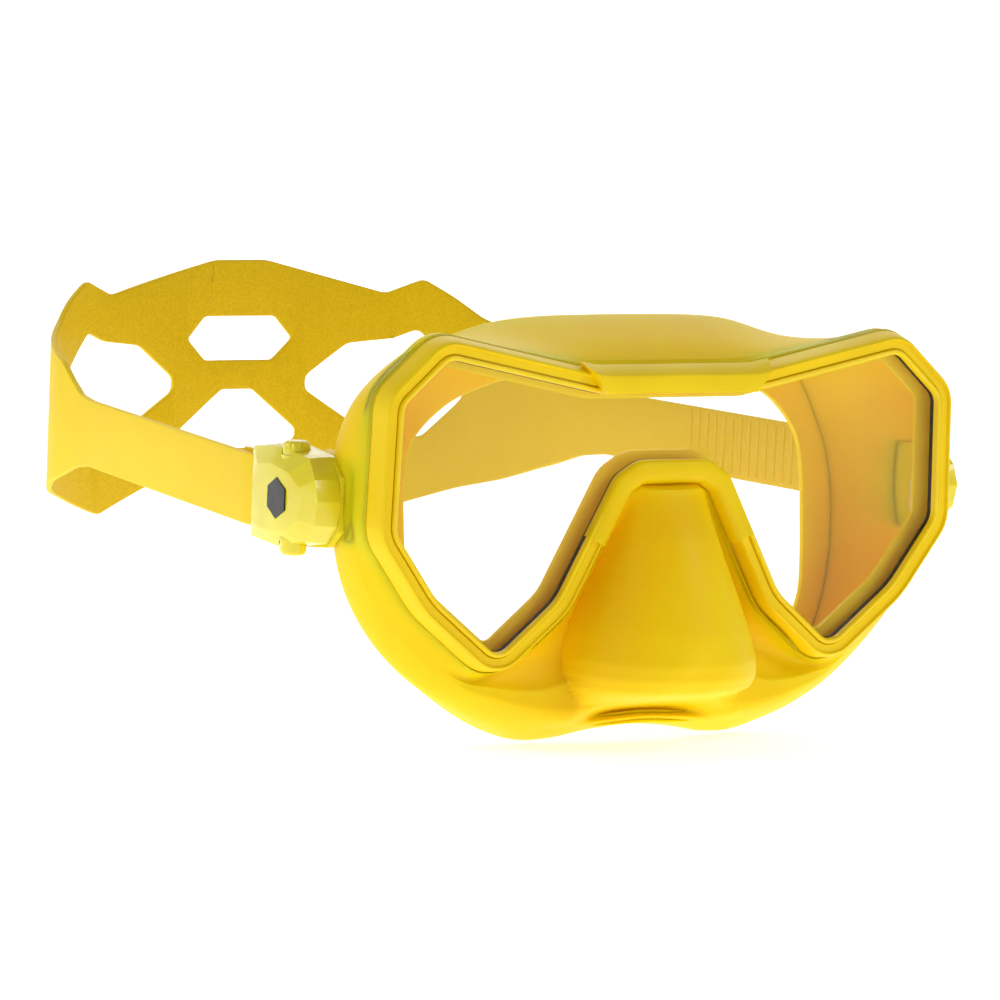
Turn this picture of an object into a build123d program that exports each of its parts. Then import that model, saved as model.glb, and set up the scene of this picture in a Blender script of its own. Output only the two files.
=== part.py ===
from build123d import *
from math import asin, atan2, cos, hypot, sin
import os

# A single-lens snorkel mask with its head strap and two squeeze buckles. Millimetres.
# +X is the wearer's left, +Y points back to the head, +Z is up. The origin is the middle
# of the viewing opening, in the plane of the rim's front edge.

# overall sizes: the outlines further down are drawn for a 140 by 66 opening and follow these
opening_width = 140.0
opening_height = 66.0
strap_rear_y = 214.8

# glass and what holds it
glass_thick = 3.5
glass_lap = 2.8
lip_width = 1.25
lip_depth = 2.35
clip_width = 2.6
clip_thick = 0.95
gasket_thick = 0.45
gasket_show = 0.25
rim_width = 5.9
rim_band = 2.1
rim_front_y = 0.2
rim_chamfer = 2.2
rim_steps = 4
bar_half = 20.5
bar_reach = 2.2
bar_height = 6.0
bar_slope = 2.0
seat_gap = 0.05
clip_gap = 0.15
rear_gap = 0.1

# silicone skirt, and the face that it seals on
skirt_wall = 2.0
seat_width = 1.7
seat_rise = 0.5
skirt_mid_y = 24.0
skirt_rear_y = 46.0
face_radius = 170.0
face_front_y = 24.0
face_lean = 6.0
seal_thick = 1.8
nose_back_y = 10.0
nose_gap = 0.3

# lug on each side of the skirt, and the stud that the buckle swings on
lug_proud = 0.7
lug_depth = 8.6
lug_front_y, lug_rear_y = 12.5, 32.0
lug_height = 16.5
lug_round = 2.5
swing_y = 20.0
core_thick = 2.5
core_length, core_height = 13.0, 11.0
core_round = 2.0
stud_r = 3.0
stud_play = 0.05
stud_head_r = 4.0
stud_head_thick = 1.0
stud_end_play = 0.15

# strap
strap_z = -8.5
strap_width = 16.0
strap_thick = 1.5
strap_play = 0.1
strap_travel = 5.0
tail_length = 20.0
tail_round = 5.0
pad_radius = 131.0
pad_half = 39.0
corner_radius = 44.0

# buckle
buckle_front_y, buckle_rear_y = 12.5, 42.0
buckle_taper = 1.2
buckle_nose = 5.2
base_gap = 0.3
base_thick = 1.2
cover_wall = 1.0
cover_bevel = 1.1
boss_wall = 1.8
slot_play = 0.4
roller_y = 36.0
roller_r = 1.7
roller_play = 0.05
roller_end_play = 0.2
axle_r = 0.9
ear_wall = 1.1
ear_play = 0.15
ear_half = 1.7
ear_top = 1.0
button_y = 27.0
button_r = 3.0
button_play = 0.12
button_flange = 0.4
button_flange_thick = 0.9
button_seat = 0.65
button_proud = 1.6
button_dome = 1.0
button_stem_r = 0.8
ledge_thick = 0.9
ledge_z = 4.6
ledge_half = 1.9
ledge_reach = 1.6
spring_r = 1.9
spring_wire = 0.6
pawl_half = 2.8
pawl_arm_half = 0.8
pawl_hub_wall = 0.75
pawl_tooth = 1.9
pawl_gap = 0.3
pawl_pin_r = 0.7
pawl_pin_lift = 0.9
badge_r = 4.6
badge_thick = 0.5

# sizes that follow
clip_y = lip_depth
clip_front_y = clip_y - clip_thick
gasket_y = clip_y + seat_gap
glass_y = gasket_y + gasket_thick + seat_gap
glass_rear_y = glass_y + glass_thick
skirt_front_y = glass_rear_y + seat_gap + seat_rise
lug_face_x = opening_width / 2 + rim_width + lug_proud
lug_root_x = lug_face_x - lug_depth
base_x = lug_face_x + base_gap
shell_x = base_x + base_thick
tail_x = shell_x + 2 * strap_play + strap_thick / 2
roller_x = tail_x + strap_thick / 2 + strap_play + roller_r
limb_x = roller_x + roller_r + strap_play + strap_thick / 2
cover_x = limb_x + strap_thick / 2 + slot_play + cover_wall
ear_z = strap_width / 2 + ear_play
half_height = ear_z + ear_wall + cover_wall + 0.8 * buckle_taper
pawl_pin_x = shell_x + pawl_pin_r + pawl_pin_lift

# viewing opening: the corners (x, z, radius) of the wearer's left half, from brow to nose notch
opening_corners = [(20, 16.4, 3), (58.6, 24.6, 5), (69.6, 14.6, 5), (70.3, -13.6, 8), (59.6, -28.6, 18),
                   (43.5, -41.8, 4.5), (29, -29.5, 12), (14.5, -2.2, 7), (9, 1.2, 7)]

# skirt sections: the same places round the wearer's left half, behind the rim, half way and rear
front_section = [(0, 23.6), (20, 23.9), (37, 27.2), (48, 29.8), (58, 30.6), (67, 26), (73, 19),
                 (76.4, 0), (76, -15), (71, -26), (63, -36), (53, -44.5), (36, -52), (15, -55.5),
                 (0, -55.5)]
mid_section = [(0, 32.2), (20, 31.6), (38, 29.4), (49, 27), (58.5, 22.1), (65, 16.5), (70, 8.5),
               (72.9, -5), (72.6, -22), (68, -34), (61, -43), (50.5, -52), (33.5, -60.5), (14, -61.5),
               (0, -60.5)]
rear_section = [(0, 32), (18, 31), (32, 28), (42, 23.5), (50, 17), (55.5, 10), (59, 2), (61, -8),
                (60.2, -22), (57, -34), (51, -44), (42, -53), (28, -61), (13, -62), (0, -61)]
seal_hole = [(0, 18), (18, 17.5), (34, 14), (45, 8.5), (51, 2), (53, -6), (53.5, -15), (52, -24),
             (49, -32), (43, -39), (36, -44), (28, -47.5), (18, -49), (9, -49.5), (0, -49.5)]

# nose pocket: level, half width and reach in front of the opening's plane
nose_levels = [(-4.5, 6, 0.5), (-8, 8.5, 4), (-15, 11.5, 8.5), (-27, 17, 13.5), (-36, 21, 16.5),
               (-43, 22, 17.8), (-49, 20.5, 16.5), (-52.5, 16, 12)]

# strap edges and cut-outs: distance along the strap from the middle of its pad, and height
limb_top = strap_z + strap_width / 2
limb_low = strap_z - strap_width / 2
split = 72
pad_top = [(7.3, 27.2), (39.8, 19), (49.5, 23), (57.5, 18.7), (65.3, 13.8), (split, 11.6)]
pad_low = [(9, -25.5), (26.6, -30), (42.4, -36.3), (60, -30.5), (split, -27.5)]
corner_top = [(split, 11.6), (82, 9.2), (91, 7), (99, 3), (106, limb_top + 0.6), (114, limb_top)]
corner_low = [(split, -27.5), (84, -23.5), (93, -20.9), (102, limb_low - 1.5), (112, limb_low)]
pad_hole = [(10, 12.9), (15, 7.2), (9.6, 1.6)]
low_hole = [(4.4, -5.8), (16.8, -16), (16.8, -18.5), (12, -21)]
side_window = [(19, -2.5), (30, 6), (42, 7.4), (48.5, 10), (60, -0.5), (62, -4), (60, -8), (50, -18),
               (31, -13.8), (19, -6)]


def wide(x):
    """A drawn place across the mask, at this mask's width: all that lies outside the opening moves as one."""
    return x + (opening_width - 140) / 2 * min(1, x / 70)


def tall(z):
    """A drawn height, at this mask's height."""
    return z * opening_height / 66


def prism(face, y0, y1):
    """A face drawn in X and Z, extruded from y0 back to y1."""
    return extrude(Plane.XZ.offset(-y0) * face, amount=-(y1 - y0))


def block(x0, x1, y0, y1, z0, z1):
    """A box between two corners."""
    size = Box(x1 - x0, y1 - y0, z1 - z0)
    return Pos((x0 + x1) / 2, (y0 + y1) / 2, (z0 + z1) / 2) * size


def post(x, y, z0, z1, r):
    """A round post along Z."""
    return Pos(x, y, (z0 + z1) / 2) * Cylinder(r, z1 - z0)


def stub(y, z, x0, x1, r):
    """A round post along X."""
    return Pos((x0 + x1) / 2, y, z) * Rot(0, 90, 0) * Cylinder(r, x1 - x0)


def opening_face():
    """The viewing opening, a symmetric closed face with rounded corners."""
    left = [(wide(x), tall(z), r) for x, z, r in opening_corners]
    corners = left + [(-x, z, r) for x, z, r in reversed(left)]
    points = [(x, z) for x, z, r in corners]
    return make_face(FilletPolyline(*points, radius=[r for x, z, r in corners], close=True))


opening = opening_face()


def rim(inner, outer, y0, y1):
    """A ring that follows the opening between two offsets from it."""
    return prism(offset(opening, outer) - offset(opening, inner), y0, y1)


# the glass and what holds it

def make_glass():
    return prism(offset(opening, glass_lap), glass_y, glass_rear_y)


def make_gasket():
    return rim(-gasket_show, clip_width, gasket_y, gasket_y + gasket_thick)


def make_ring():
    body = rim(0, lip_width, 0, clip_y)
    body += rim(0, clip_width, clip_front_y, clip_y)
    return body - nose_body(-nose_gap, nose_levels)


def make_bar():
    """The raised brow bar across the middle of the rim."""
    low = tall(16.4) + clip_gap
    high = low + bar_height
    back = clip_front_y - rear_gap
    profile = [(back, low), (-bar_reach + bar_slope / 4, low), (-bar_reach, low + bar_slope / 4),
               (-bar_reach, high - bar_slope), (back - bar_slope / 4, high), (back, high)]
    bar = Plane.YZ * make_face(Polyline(*profile, close=True))
    return extrude(bar, amount=wide(bar_half), both=True)


def make_frame():
    body = rim(glass_lap + clip_gap, rim_width, rim_front_y, skirt_front_y - rear_gap)
    body += rim(clip_width + clip_gap, rim_width, rim_front_y, glass_y - rear_gap)
    body += rim(lip_width + clip_gap, rim_width, rim_front_y, clip_front_y - rear_gap)
    level = lip_width + clip_gap + rim_band
    slope = rim_width - level
    blank = offset(opening, 2 * rim_width)
    for step in range(rim_steps):
        reach = level + slope * (step + 1) / rim_steps
        depth = rim_front_y + rim_chamfer * (step + 1) / rim_steps
        body -= prism(blank - offset(opening, reach), rim_front_y - 1, depth)
    body += make_bar()
    body -= prism(offset(opening, lip_width + clip_gap), -2 * bar_reach, clip_front_y - rear_gap)
    return body - nose_body(-nose_gap, nose_levels)


# the silicone skirt

def both_halves(half):
    """All the points round a section, from those of its +X half."""
    left = [(wide(x), tall(z)) for x, z in half]
    return left + [(-x, z) for x, z in reversed(left[1:-1])]


def inset(points, wall):
    """The points moved inwards by the wall, square to the outline."""
    moved = []
    for i, (x, z) in enumerate(points):
        before, after = points[i - 1], points[(i + 1) % len(points)]
        run, rise = after[0] - before[0], after[1] - before[1]
        length = hypot(run, rise)
        moved.append((x + wall * rise / length, z - wall * run / length))
    return moved


def skirt_body(wall, front_y):
    """The skirt's outer form, inset by a wall and started at a depth."""
    sections = [(front_section, front_y), (mid_section, skirt_mid_y), (rear_section, skirt_rear_y)]
    faces = []
    for half, y in sections:
        points = inset(both_halves(half), wall)
        faces.append(Plane.XZ.offset(-y) * make_face(Spline(*points, periodic=True)))
    return loft(faces)


def nose_body(wall, levels):
    """The nose pocket's form, inset by a wall."""
    faces = []
    for z, half_width, reach in levels:
        face = make_face(Ellipse(wide(half_width) - wall, reach + nose_back_y - wall).edges())
        faces.append(Pos(0, nose_back_y, tall(z)) * face)
    return loft(faces)


def core_plate(side):
    """The hard plate in a lug."""
    plate = Box(core_thick, core_length, core_height)
    plate = fillet(plate.edges().filter_by(Axis.X), core_round)
    return Pos(side * (lug_face_x - core_thick / 2), swing_y, strap_z) * plate


def make_lug(side):
    lug = Box(lug_face_x - lug_root_x, lug_rear_y - lug_front_y, lug_height)
    lug = fillet(lug.edges().filter_by(Axis.X), lug_round)
    return Pos(side * (lug_root_x + lug_face_x) / 2, (lug_front_y + lug_rear_y) / 2, strap_z) * lug


def make_skirt():
    outer = skirt_body(0, skirt_front_y)
    inner = skirt_body(skirt_wall, skirt_front_y + skirt_wall)
    upright = Pos(0, face_front_y + face_radius, 0) * Rot(-face_lean, 0, 0)
    head = upright * Cylinder(face_radius, 5 * opening_height)
    seal = upright * Cylinder(face_radius + seal_thick, 5 * opening_height)
    hole = prism(make_face(Spline(*both_halves(seal_hole), periodic=True)), 0, 2 * skirt_rear_y)
    flange = (outer & (seal - head)) - hole
    body = outer - inner + nose_body(0, nose_levels) + make_lug(1) + make_lug(-1)
    body = body - inner - nose_body(skirt_wall, nose_levels[:-1])
    body -= prism(offset(opening, -seat_width), glass_rear_y, skirt_front_y + 2 * skirt_wall)
    body += rim(-seat_width, glass_lap - rear_gap, glass_rear_y + seat_gap, skirt_front_y)
    return body - head + flange - core_plate(1) - core_plate(-1)


# the wearer's left buckle and strap end; the right ones are their mirror images

def make_core():
    head_x = shell_x + boss_wall + stud_end_play
    body = core_plate(1) + stub(swing_y, strap_z, lug_face_x - core_thick / 2, head_x + 0.1, stud_r)
    return body + stub(swing_y, strap_z, head_x, head_x + stud_head_thick, stud_head_r)


def buckle_side(grow, x0, x1):
    """The buckle's outline in Y and Z, grown by a margin and extruded along X."""
    half = half_height + grow
    upper = [(buckle_front_y - grow, half - buckle_nose),
             (buckle_front_y - grow + 0.9 * buckle_nose, half - buckle_taper),
             (button_y + button_r / 2, half),
             (buckle_rear_y + grow, half - buckle_taper)]
    points = upper + [(y, -z) for y, z in reversed(upper)]
    face = Plane.YZ.offset(x0) * make_face(Polyline(*points, close=True))
    return Pos(0, 0, strap_z) * extrude(face, amount=x1 - x0)


def make_base():
    boss_x = shell_x + boss_wall
    body = buckle_side(0, base_x, shell_x)
    body += stub(swing_y, strap_z, base_x, boss_x, stud_r + boss_wall)
    body -= stub(swing_y, strap_z, base_x - 1, boss_x + 1, stud_r + stud_play)
    ear_x = roller_x + axle_r + ear_top
    for side in (-1, 1):
        z0, z1 = sorted((strap_z + side * ear_z, strap_z + side * (ear_z + ear_wall)))
        ear = block(base_x, ear_x, roller_y - ear_half, roller_y + ear_half, z0, z1)
        body += ear - post(roller_x, roller_y, z0 - 1, z1 + 1, axle_r)
        z0, z1 = sorted((strap_z + side * ledge_z, strap_z + side * (ledge_z - ledge_thick)))
        ledge = block(base_x, roller_x + ledge_reach, button_y - ledge_half, button_y + ledge_half, z0, z1)
        ledge -= post(roller_x, button_y, z0 - 1, z1 + 1, button_stem_r + button_play)
        body += ledge - post(pawl_pin_x, button_y, z0 - 1, z1 + 1, pawl_pin_r)
    return body


def make_badge():
    """A plain six-sided plate, let into the cover."""
    plate = extrude(RegularPolygon(badge_r, 6), amount=badge_thick)
    middle_y = (buckle_front_y + buckle_rear_y) / 2
    return Pos(cover_x - badge_thick, middle_y, strap_z) * Rot(0, 90, 0) * plate


def make_cover():
    body = buckle_side(0, shell_x, cover_x)
    body = chamfer(body.faces().sort_by(Axis.X)[-1].edges(), cover_bevel)
    body -= buckle_side(-cover_wall, shell_x - 1, cover_x - cover_wall)
    slot_half = strap_width / 2 + slot_play
    body -= block(shell_x - 1, cover_x - cover_wall, roller_y, 2 * buckle_rear_y,
                  strap_z - slot_half, strap_z + slot_half)
    body -= post(roller_x, button_y, strap_z - 2 * half_height, strap_z + 2 * half_height,
                 button_r + button_play)
    return body - make_badge()


def make_roller():
    half = strap_width / 2 - roller_end_play
    sleeve = post(roller_x, roller_y, strap_z - half, strap_z + half, roller_r)
    return sleeve - post(roller_x, roller_y, strap_z - 2 * half, strap_z + 2 * half, axle_r + roller_play)


def make_axle():
    half = ear_z + ear_wall
    return post(roller_x, roller_y, strap_z - half, strap_z + half, axle_r)


def make_pawl():
    low, high = strap_z - pawl_half, strap_z + pawl_half
    tooth_y = roller_y - roller_r - strap_play - strap_thick - pawl_gap
    near_x, far_x = pawl_pin_x - pawl_arm_half, pawl_pin_x + pawl_arm_half
    arm = block(near_x, far_x, button_y - pawl_arm_half, tooth_y, low, high)
    arm += block(near_x, pawl_pin_x + pawl_tooth, tooth_y - pawl_arm_half, tooth_y, low, high)
    arm += post(pawl_pin_x, button_y, low, high, pawl_pin_r + pawl_hub_wall)
    return arm - post(pawl_pin_x, button_y, low - 1, high + 1, pawl_pin_r + roller_play)


def make_pawl_pin():
    return post(pawl_pin_x, button_y, strap_z - ledge_z, strap_z + ledge_z, pawl_pin_r)


def at_button(side, body):
    """A piece drawn upwards at the origin, set at the upper or the lower button."""
    turn = 0 if side > 0 else 180
    return Pos(roller_x, button_y, strap_z) * Rot(turn, 0, 0) * body


def make_button(side):
    flange_top = half_height - cover_wall - button_seat
    flange_low = flange_top - button_flange_thick
    body = post(0, 0, ledge_z - clip_gap, flange_top, button_stem_r)
    body += post(0, 0, flange_low, flange_top, button_r + button_flange)
    cap = post(0, 0, flange_low, half_height + button_proud, button_r)
    body += fillet(cap.faces().sort_by(Axis.Z)[-1].edges(), button_dome)
    return at_button(side, body)


def make_spring(side):
    """A coil spring's outer form, between its ledge and the button's flange."""
    low = ledge_z + seat_gap
    high = half_height - cover_wall - button_seat - button_flange_thick - seat_gap
    body = post(0, 0, low, high, spring_r) - post(0, 0, low - 1, high + 1, spring_r - spring_wire)
    return at_button(side, body)


def make_fold():
    """The strap's turn round the roller, from its outer run to its inner one."""
    inner = roller_r + strap_play
    low, high = limb_low, limb_top
    ring = post(roller_x, roller_y, low, high, inner + strap_thick)
    ring -= post(roller_x, roller_y, low - 1, high + 1, inner)
    reach = 3 * inner
    return ring - block(roller_x - reach, roller_x + reach, roller_y, roller_y + reach, low - 1, high + 1)


def make_tail():
    """The strap's free end, inside the limb behind the buckle."""
    front = roller_y + strap_travel + strap_play
    body = block(tail_x - strap_thick / 2, tail_x + strap_thick / 2, front, front + tail_length,
                 limb_low, limb_top)
    return fillet(body.edges().filter_by(Axis.X).sort_by(Axis.Y)[-2:], tail_round)


# the strap's route seen from above: pad arc, corner arc, then a straight limb to the buckle

pad_turn = asin(pad_half / pad_radius)
pad_centre_y = strap_rear_y - pad_radius
corner_centre = ((pad_radius - corner_radius) * sin(pad_turn),
                 pad_centre_y + (pad_radius - corner_radius) * cos(pad_turn))
limb_start = (limb_x, buckle_rear_y + 2 * strap_thick)
reach_x, reach_y = limb_start[0] - corner_centre[0], corner_centre[1] - limb_start[1]
limb_turn = atan2(reach_y, reach_x) + asin(corner_radius / hypot(reach_x, reach_y))
pad_length = pad_radius * pad_turn
corner_length = corner_radius * (limb_turn - pad_turn)


def route(distance):
    """The place on the strap's middle at a distance from the middle of its rear pad."""
    if distance <= pad_length:
        turn = distance / pad_radius
        return pad_radius * sin(turn), pad_centre_y + pad_radius * cos(turn)
    turn = min(pad_turn + (distance - pad_length) / corner_radius, limb_turn)
    run = max(0, distance - pad_length - corner_length)
    x = corner_centre[0] + corner_radius * sin(turn) + run * cos(limb_turn)
    y = corner_centre[1] + corner_radius * cos(turn) - run * sin(limb_turn)
    return x, y


def strap_edge(way, shift):
    """One face of the strap's half, as a chain of lines from the pad's middle to the roller."""
    big, small = pad_radius + shift, corner_radius + shift
    centre_x, centre_y = corner_centre
    mid_turn = (pad_turn + limb_turn) / 2
    pad_mid = (way * big * sin(pad_turn / 2), pad_centre_y + big * cos(pad_turn / 2))
    start = (way * (centre_x + small * sin(pad_turn)), centre_y + small * cos(pad_turn))
    middle = (way * (centre_x + small * sin(mid_turn)), centre_y + small * cos(mid_turn))
    end = (way * (centre_x + small * sin(limb_turn)), centre_y + small * cos(limb_turn))
    buckle = (way * (limb_start[0] + shift), limb_start[1])
    tip = (way * (limb_start[0] + shift), roller_y + seat_gap)
    rear = (0, strap_rear_y + shift)
    return [ThreePointArc(rear, pad_mid, start), ThreePointArc(start, middle, end),
            Line(end, buckle), Line(buckle, tip)]


def across(half):
    """The points of the wearer's right half, then those of the left."""
    return [(-s, z) for s, z in reversed(half)] + half


def pad_prism(points):
    """Points by distance along the strap and height, made a prism through the rear pad."""
    places = [(route(abs(s))[0] * (1 if s >= 0 else -1), z) for s, z in points]
    return prism(make_face(Polyline(*places, close=True)), strap_rear_y - 50, strap_rear_y + 10)


def make_strap():
    half_thick = strap_thick / 2
    tip_y = roller_y + seat_gap
    lines = []
    for way in (1, -1):
        lines += strap_edge(way, half_thick) + strap_edge(way, -half_thick)
        lines.append(Line((way * (limb_x - half_thick), tip_y), (way * (limb_x + half_thick), tip_y)))
    band = Pos(0, 0, -50) * extrude(make_face(Curve() + lines), amount=90)
    split_y = route(split)[1]
    rear = pad_prism(across(pad_top) + across(pad_low)[::-1])
    rear -= block(-2 * limb_x, 2 * limb_x, 0, split_y, -90, 90)
    points = [(route(s)[1], z) for s, z in corner_top] + [(0, limb_top), (0, limb_low)]
    points += [(route(s)[1], z) for s, z in reversed(corner_low)]
    sides = Plane.YZ.offset(-2 * limb_x) * make_face(Polyline(*points, close=True))
    sides = extrude(sides, amount=4 * limb_x)
    body = band & (rear + sides)
    body = body - pad_prism(across(pad_hole)) - pad_prism(across(low_hole))
    return body - pad_prism(side_window) - pad_prism([(-s, z) for s, z in side_window])


def tidy(shape):
    """The shape's solid, or all of its solids if there are several."""
    solids = shape.solids()
    return solids[0] if len(solids) == 1 else Compound(children=list(solids))


def build_parts():
    """Every node's solid, by the node's name."""
    parts = {"lens_glass": make_glass(), "lens_gasket": make_gasket(), "retaining_ring": make_ring(),
             "frame": make_frame(), "skirt": make_skirt(), "strap": make_strap()}
    sided = {"lug_core": make_core(), "buckle_base": make_base(), "buckle_cover": make_cover(),
             "badge": make_badge(), "strap_roller": make_roller(), "roller_axle": make_axle(),
             "pawl": make_pawl(), "pawl_pin": make_pawl_pin(), "upper_button": make_button(1),
             "lower_button": make_button(-1), "upper_spring": make_spring(1),
             "lower_spring": make_spring(-1), "strap_fold": make_fold(), "strap_tail": make_tail()}
    for name, shape in sided.items():
        parts["left_" + name] = shape
        parts["right_" + name] = mirror(shape, Plane.YZ)
    return parts


os.makedirs("parts", exist_ok=True)
for name, shape in build_parts().items():
    export_step(tidy(shape), f"parts/{name}.step")
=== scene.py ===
import math

import bmesh
import bpy
import numpy as np
from mathutils import Matrix, Vector


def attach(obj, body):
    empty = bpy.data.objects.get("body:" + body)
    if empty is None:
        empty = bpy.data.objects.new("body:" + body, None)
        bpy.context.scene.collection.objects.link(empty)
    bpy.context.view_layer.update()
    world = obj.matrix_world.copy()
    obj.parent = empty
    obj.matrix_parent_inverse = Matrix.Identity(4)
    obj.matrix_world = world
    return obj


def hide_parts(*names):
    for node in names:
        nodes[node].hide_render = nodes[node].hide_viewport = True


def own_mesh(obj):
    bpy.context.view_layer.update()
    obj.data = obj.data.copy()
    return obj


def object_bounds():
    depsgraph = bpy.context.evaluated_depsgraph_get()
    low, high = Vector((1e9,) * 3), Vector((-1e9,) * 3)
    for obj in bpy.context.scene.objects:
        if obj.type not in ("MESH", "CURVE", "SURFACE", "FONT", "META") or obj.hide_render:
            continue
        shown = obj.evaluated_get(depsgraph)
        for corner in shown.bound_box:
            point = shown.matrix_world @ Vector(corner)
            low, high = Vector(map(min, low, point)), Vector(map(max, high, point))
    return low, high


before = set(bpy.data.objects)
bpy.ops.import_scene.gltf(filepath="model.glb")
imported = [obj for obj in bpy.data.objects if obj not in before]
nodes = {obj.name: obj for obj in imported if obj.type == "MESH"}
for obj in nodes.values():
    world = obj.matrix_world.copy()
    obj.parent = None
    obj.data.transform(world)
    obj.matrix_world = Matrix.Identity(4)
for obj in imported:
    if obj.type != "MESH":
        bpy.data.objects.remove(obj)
cad_box = [list(corner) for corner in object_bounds()]

# Lens: one pane of tempered glass, cut to the viewing opening with a lap all round. It is clear; its colour carries a
# faint warm tint, a painted reflection of the yellow silicone around it. The CAD pane is the right shape.


class Value:
    """One output of a material's nodes. Sums on it add Math nodes."""

    def __init__(self, tree, socket):
        self.tree, self.socket = tree, socket

    def node(self, kind, settings=None, output=0, **sockets):
        """A new node with its settings, then the values or links of its sockets, as one of its outputs."""
        made = self.tree.nodes.new(kind)
        for key, value in (settings or {}).items():
            setattr(made, key, value)
        for key, value in sockets.items():
            target = made.inputs[int(key[1:]) if key[1:].isdigit() else key.replace("_", " ")]
            if isinstance(value, Value):
                self.tree.links.new(value.socket, target)
            else:
                target.default_value = value
        return Value(self.tree, made.outputs[output])

    def maths(self, operation, first, second):
        return self.node("ShaderNodeMath", {"operation": operation}, i0=first, i1=second)

    def __add__(self, other):
        return self.maths("ADD", self, other)

    def __sub__(self, other):
        return self.maths("SUBTRACT", self, other)

    def __rsub__(self, other):
        return self.maths("SUBTRACT", other, self)

    def __mul__(self, other):
        return self.maths("MULTIPLY", self, other)

    __radd__ = __add__
    __rmul__ = __mul__

    def clamp(self, low, high):
        """This value, spread from 0 at low to 1 at high."""
        settings = {"interpolation_type": "SMOOTHSTEP"}
        return self.node("ShaderNodeMapRange", settings, i0=self, i1=low, i2=high)

    def mix(self, low, high):
        """The colour low where this value is 0, and high where it is 1."""
        return self.node("ShaderNodeMix", {"data_type": "RGBA"}, output=2, i0=self, i6=low, i7=high)


def finish(name, colour, roughness, **constants):
    """A material, its Object coordinates as a Value, and its Principled shader."""
    material = bpy.data.materials.new(name)
    material.use_nodes = True
    tree = material.node_tree
    shader = tree.nodes["Principled BSDF"]
    shader.inputs["Base Color"].default_value = colour
    shader.inputs["Roughness"].default_value = roughness
    for key, value in constants.items():
        shader.inputs[key.replace("_", " ")].default_value = value
    place = Value(tree, tree.nodes.new("ShaderNodeTexCoord").outputs["Object"])
    return material, place, shader


def drive(shader, **sockets):
    """Links values to the shader's sockets."""
    for key, value in sockets.items():
        value.tree.links.new(value.socket, shader.inputs[key.replace("_", " ")])


def noise(place, size, detail=2.0):
    """Smooth noise over the piece, with spots of about a size in metres."""
    return place.node("ShaderNodeTexNoise", Vector=place, Scale=1 / size, Detail=detail)


def bump(height, strength, depth):
    """A bumped normal from a height value, with its full depth in metres."""
    return height.node("ShaderNodeBump", Strength=strength, Distance=depth, Height=height)


# painted reflection: the warm base colour stands for the yellow silicone seen in and through the glass
clear_glass, place, shader = finish("clear_glass", (1.0, 0.94, 0.72, 1), 0.04, IOR=1.3, Alpha=0.035,
                                    Specular_IOR_Level=0.12)
smear = noise(place, 0.05).clamp(0.35, 0.8)
drive(shader, Roughness=smear * 0.05 + 0.03)
clear_glass.surface_render_method = "BLENDED"


def repaint(node, material):
    """Gives a CAD node a better material."""
    slots = nodes[node].data.materials
    slots.clear()
    slots.append(material)


repaint("lens_glass", clear_glass)

# Lens gasket: a black rubber strip between the glass and the retaining ring. Its inner edge shows
# as a thin black line round the glass. It is cut to the opening's outline, as all the rim is.

# the opening's corners on the wearer's left: across, up, radius, from the brow down to the nose notch
OPENING = [(20, 16.4, 12), (58.6, 24.6, 4), (69.6, 14.6, 4), (70.3, -13.6, 6), (59.6, -28.6, 22),
           (43.5, -41.8, 4), (29, -29.5, 14), (14.5, -2.2, 7), (9, 1.2, 7)]
STATION_GAP = 1.2


def rounded_line(corners, gap):
    """Points along a line with rounded corners, about a gap apart, and the outward normal at each."""
    points, normals = [], []
    last = np.array(corners[0][:2], float)
    for before, corner, after in zip(corners, corners[1:], corners[2:]):
        radius = corner[2]
        before, corner, after = (np.array(place[:2], float) for place in (before, corner, after))
        way_in, way_out = ((b - a) / np.hypot(*(b - a)) for a, b in ((before, corner), (corner, after)))
        turn = math.atan2(way_in[0] * way_out[1] - way_in[1] * way_out[0], way_in @ way_out)
        normal = np.array((-way_in[1], way_in[0]))
        start = corner - way_in * radius * abs(math.tan(turn / 2))
        steps = max(1, round(np.hypot(*(start - last)) / gap))
        for k in range(steps):
            points.append(last + (start - last) * k / steps)
            normals.append(normal)
        side = math.copysign(1, turn)
        centre = start + side * radius * normal
        arcs = max(4, round(abs(turn) * (radius + 4) / gap))
        for k in range(arcs + 1):
            cos, sin = math.cos(turn * k / arcs), math.sin(turn * k / arcs)
            turned = np.array((normal[0] * cos - normal[1] * sin, normal[0] * sin + normal[1] * cos))
            points.append(centre - side * radius * turned)
            normals.append(turned)
        last = points.pop()
        normals.pop()
        normal = turned
    end = np.array(corners[-1][:2], float)
    steps = max(1, round(np.hypot(*(end - last)) / gap))
    for k in range(steps + 1):
        points.append(last + (end - last) * k / steps)
        normals.append(normal)
    return np.array(points), np.array(normals)


half_points, half_normals = rounded_line([(0, 16.4, 0)] + OPENING + [(0, 1.2, 0)], STATION_GAP)
flip = np.array((-1, 1))
RIM = np.vstack((half_points, half_points[-2:0:-1] * flip))
RIM_OUT = np.vstack((half_normals, half_normals[-2:0:-1] * flip))
HALF = len(half_points)


def make_piece(name, points, faces, material, body, slot, smooth=35.0):
    """A mesh piece from points in millimetres, shaded smooth below an edge angle, riding on a body."""
    mesh = bpy.data.meshes.new(name)
    mesh.from_pydata([tuple(p) for p in np.asarray(points, float) / 1000], [], [tuple(f) for f in faces])
    mesh.validate()
    mesh.materials.append(material)
    piece = bpy.data.objects.new(name, mesh)
    bpy.context.scene.collection.objects.link(piece)
    polish(mesh, smooth)
    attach(piece, body)
    return piece


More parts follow.
